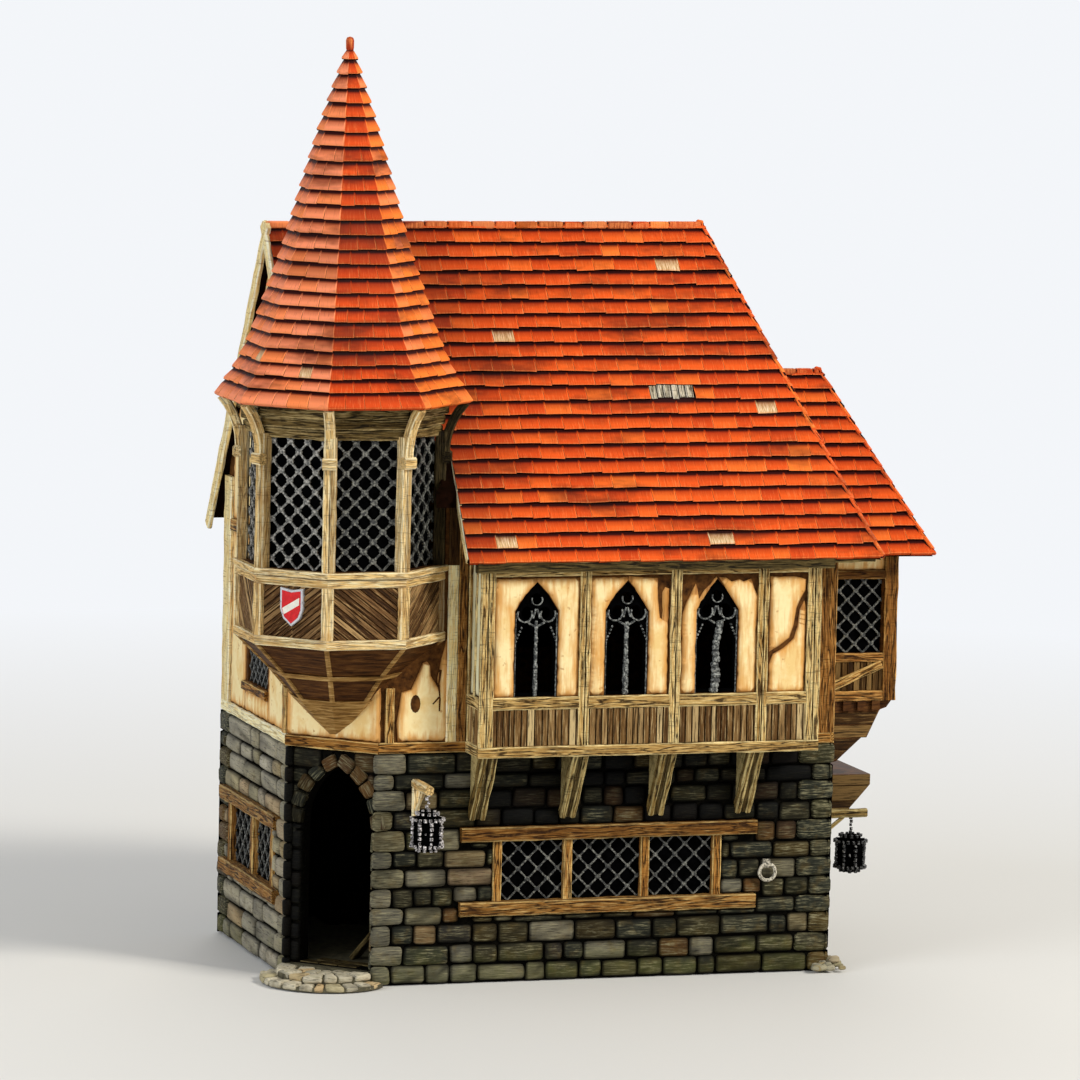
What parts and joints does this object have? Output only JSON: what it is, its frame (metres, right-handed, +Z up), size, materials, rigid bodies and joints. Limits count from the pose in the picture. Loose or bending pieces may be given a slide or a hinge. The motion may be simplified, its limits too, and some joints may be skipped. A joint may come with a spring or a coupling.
{
  "type": "miniature half-timbered house",
  "caption": "Painted miniature of a half-timbered house: stone ground storey, jettied bay, corner turret with a tall tiled spire, side oriel and steep tiled roof.",
  "frame": {"origin": "centre of the stone storey's plan at the underside of the floor", "axes": "+Z up, the front with the bay faces -Y, the turret corner is at -X -Y, the oriel is at +X"},
  "size_m": [0.2057, 0.1252, 0.2583],
  "materials": {
    "stone": "painted dark stone, dry-brushed grey, satin-free",
    "timber": "painted tan timber with a dark wash, matte",
    "floor_timber": "dark painted boards, matte",
    "dark_timber": "dark brown painted boards with tan ribs, matte",
    "plaster": "cream painted plaster with orange stains, matte",
    "roof_tile": "orange-red painted tiles, matte",
    "lattice": "black paint with a grey lattice, matte",
    "tracery": "black paint with grey edges, matte",
    "iron": "black paint with silver dry-brush, matte",
    "shield": "red paint with a pale rim"
  },
  "bodies": {
    "root": {"ground_floor": "stone", "door_step": "stone", "stone_wall_front": "stone", "stone_wall_left": "stone", "stone_wall_back": "stone", "stone_wall_right": "stone", "door_wall": "stone", "stair_flight": "floor_timber", "stone_window_timbers": "timber", "stone_window_panes": "lattice", "door_lantern": "iron", "door_lantern_bracket": "timber", "side_lantern": "iron", "side_lantern_bracket": "timber", "tether_ring": "iron", "side_hood": "timber", "upper_floor": "floor_timber", "sole_beams": "timber", "left_upper_wall": "plaster", "corner_upper_wall": "plaster", "bay_front_wall": "plaster", "bay_side_walls": "plaster", "bay_front_frame": "timber", "bay_side_frames": "timber", "bay_tracery": "tracery", "jetty_brackets": "timber", "back_upper_wall": "plaster", "right_upper_wall": "plaster", "flush_frames": "timber", "upper_window_panes": "lattice", "turret_corbel": "dark_timber", "corbel_ribs": "timber", "turret_apron": "dark_timber", "turret_mouldings": "timber", "turret_posts": "timber", "turret_panes": "lattice", "turret_head": "timber", "turret_spire": "roof_tile", "shield": "shield", "oriel_walls": "plaster", "oriel_frame": "timber", "oriel_corbel": "dark_timber", "oriel_roof": "roof_tile", "roof_front_slope": "roof_tile", "roof_back_slope": "roof_tile", "roof_hip": "roof_tile", "barge_boards": "timber", "eave_beam": "timber"}
  },
  "joints": []
}
